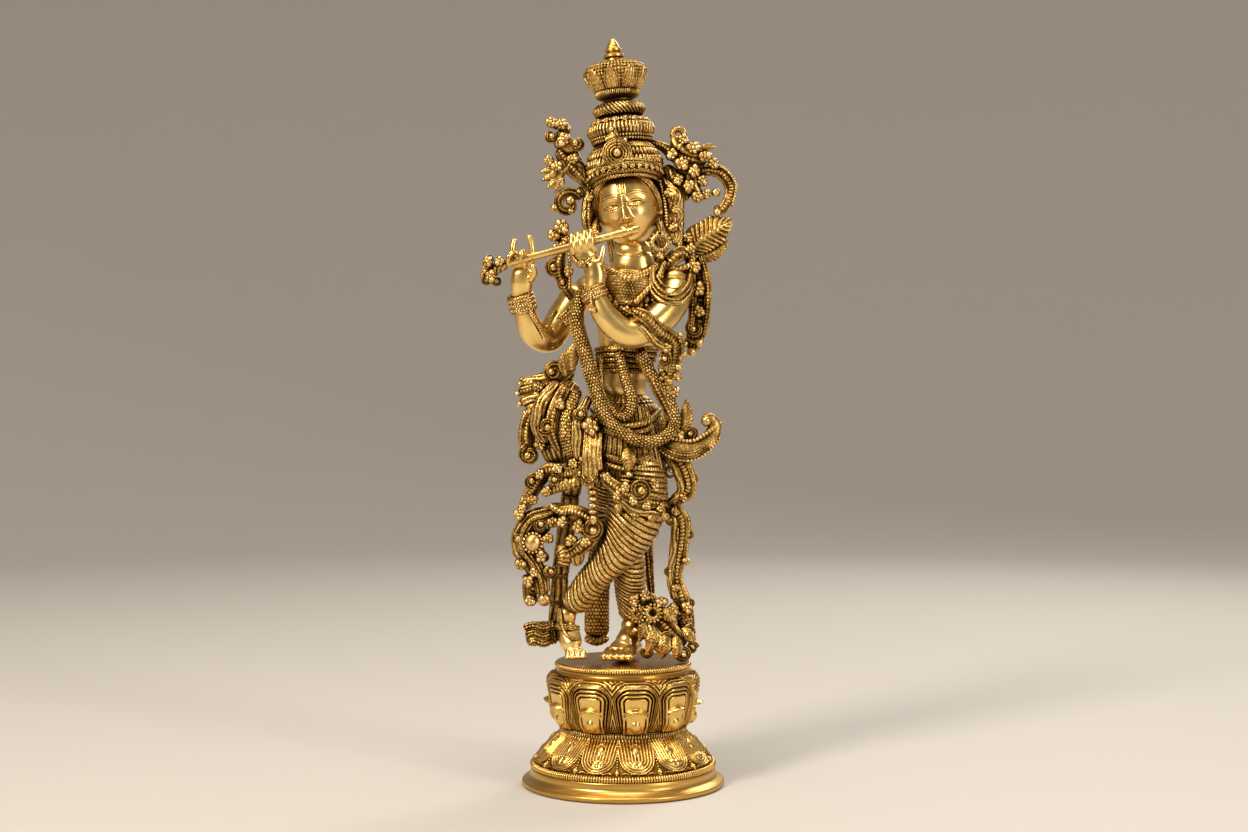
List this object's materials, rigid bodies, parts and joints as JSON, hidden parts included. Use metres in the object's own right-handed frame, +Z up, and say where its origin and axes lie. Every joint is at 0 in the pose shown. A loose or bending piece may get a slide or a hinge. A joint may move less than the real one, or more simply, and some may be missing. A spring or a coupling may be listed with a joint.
{
  "type": "flute-playing deity statue",
  "caption": "Standing flute-playing deity in ornate cast brass, crowned and draped, on a double-lotus pedestal; decorative figurine for a shelf or shrine.",
  "frame": {"origin": "centre of the plinth's flat underside, on the pedestal's axis", "axes": "+Z up; the figure faces -Y; the figure's own left hand is at +X"},
  "size_m": [0.1031, 0.0826, 0.3053],
  "materials": {
    "polished_brass": "smooth satin gold, softly polished",
    "antique_brass": "chased and beaded, bright on the high points and dark in the recesses",
    "turned_brass": "lathe-turned, brushed round the axis",
    "steel": "zinc-plated screws and nuts inside the pedestal"
  },
  "bodies": {
    "figure": {"back_drape": "antique_brass", "cape_right": "antique_brass", "crown_band": "antique_brass", "crown_cup": "antique_brass", "crown_dome": "antique_brass", "crown_finial": "turned_brass", "crown_medallion": "antique_brass", "crown_spire": "antique_brass", "deck_plate": "turned_brass", "earring_left": "antique_brass", "earring_right": "antique_brass", "elbow_scarf": "antique_brass", "fan_drape": "antique_brass", "foliage_nut": "steel", "foot_foliage": "antique_brass", "foot_nut": "steel", "hair_back": "antique_brass", "hair_spray_left": "antique_brass", "hair_spray_right": "antique_brass", "hand_flowers": "antique_brass", "head": "polished_brass", "hip_fold": "antique_brass", "hip_scroll": "antique_brass", "inner_garland": "antique_brass", "knee_flowers": "antique_brass", "left_anklet": "antique_brass", "left_arm": "polished_brass", "left_armlet": "antique_brass", "left_bracelet": "antique_brass", "left_hand": "polished_brass", "left_leg": "antique_brass", "lower_lotus": "antique_brass", "necklace": "antique_brass", "outer_garland": "antique_brass", "plinth_plate": "turned_brass", "plinth_screw_1": "steel", "plinth_screw_2": "steel", "plinth_screw_3": "steel", "right_anklet": "antique_brass", "right_arm": "polished_brass", "right_armlet": "antique_brass", "right_bracelet": "antique_brass", "right_hand": "polished_brass", "right_leg": "antique_brass", "sash_tails": "antique_brass", "scarf_cluster_right": "antique_brass", "scarf_fall_left": "antique_brass", "scarf_scroll_inner": "antique_brass", "scarf_scroll_right": "antique_brass", "shoulder_feather": "antique_brass", "shoulder_tassel": "antique_brass", "side_lock_left": "antique_brass", "side_lock_right": "antique_brass", "skirt": "antique_brass", "torso": "polished_brass", "upper_lotus": "antique_brass", "waist_collar": "antique_brass", "waistband": "antique_brass"},
    "flute": {"flute": "polished_brass", "flute_tassel": "antique_brass"}
  },
  "joints": [
    {"name": "flute_slide", "type": "slide", "parent": "figure", "child": "flute", "axis": [-0.9674, 0, -0.2532], "range_m": [0, 0.06]}
  ]
}
